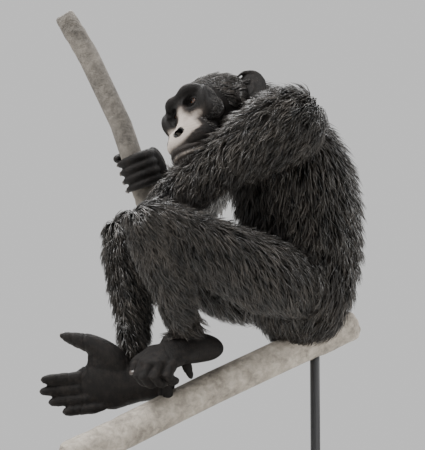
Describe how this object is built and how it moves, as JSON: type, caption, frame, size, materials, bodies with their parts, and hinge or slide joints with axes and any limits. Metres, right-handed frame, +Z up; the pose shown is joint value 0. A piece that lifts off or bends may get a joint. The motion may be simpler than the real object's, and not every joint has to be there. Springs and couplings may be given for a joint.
{
  "type": "chimpanzee",
  "caption": "Life-size still model of an adult chimpanzee sitting on a cut bough, one hand round an upright stem, on a flat display stand with short rods",
  "frame": {"origin": "centre of the underside of the stand's base, on the floor", "axes": "+Z up, the animal faces -Y, its left side is +X"},
  "size_m": [0.626, 0.74, 1.1902],
  "materials": {
    "hair_coat": "black coarse hair with a soft sheen",
    "face_skin": "wrinkled bare skin, dark round the eyes and paler on the muzzle",
    "bare_skin": "dark creased bare skin",
    "eye": "polished dark brown glass",
    "bark": "grey rough bark",
    "stand_steel": "black satin paint",
    "stand_board": "dark grey stained board"
  },
  "bodies": {
    "root": {"head": "face_skin", "ear_left": "bare_skin", "ear_right": "bare_skin", "eye_left": "eye", "eye_right": "eye", "neck": "hair_coat", "chest": "hair_coat", "belly": "hair_coat", "upper_arm_left": "hair_coat", "upper_arm_right": "hair_coat", "forearm_left": "hair_coat", "forearm_right": "hair_coat", "hand_left": "bare_skin", "hand_right": "bare_skin", "thigh_left": "hair_coat", "thigh_right": "hair_coat", "shin_left": "hair_coat", "shin_right": "hair_coat", "foot_left": "bare_skin", "foot_right": "bare_skin", "perch_bough": "bark", "perch_stem": "bark", "stand_rod_front": "stand_steel", "stand_rod_rear": "stand_steel", "stand_base": "stand_board"}
  },
  "joints": []
}
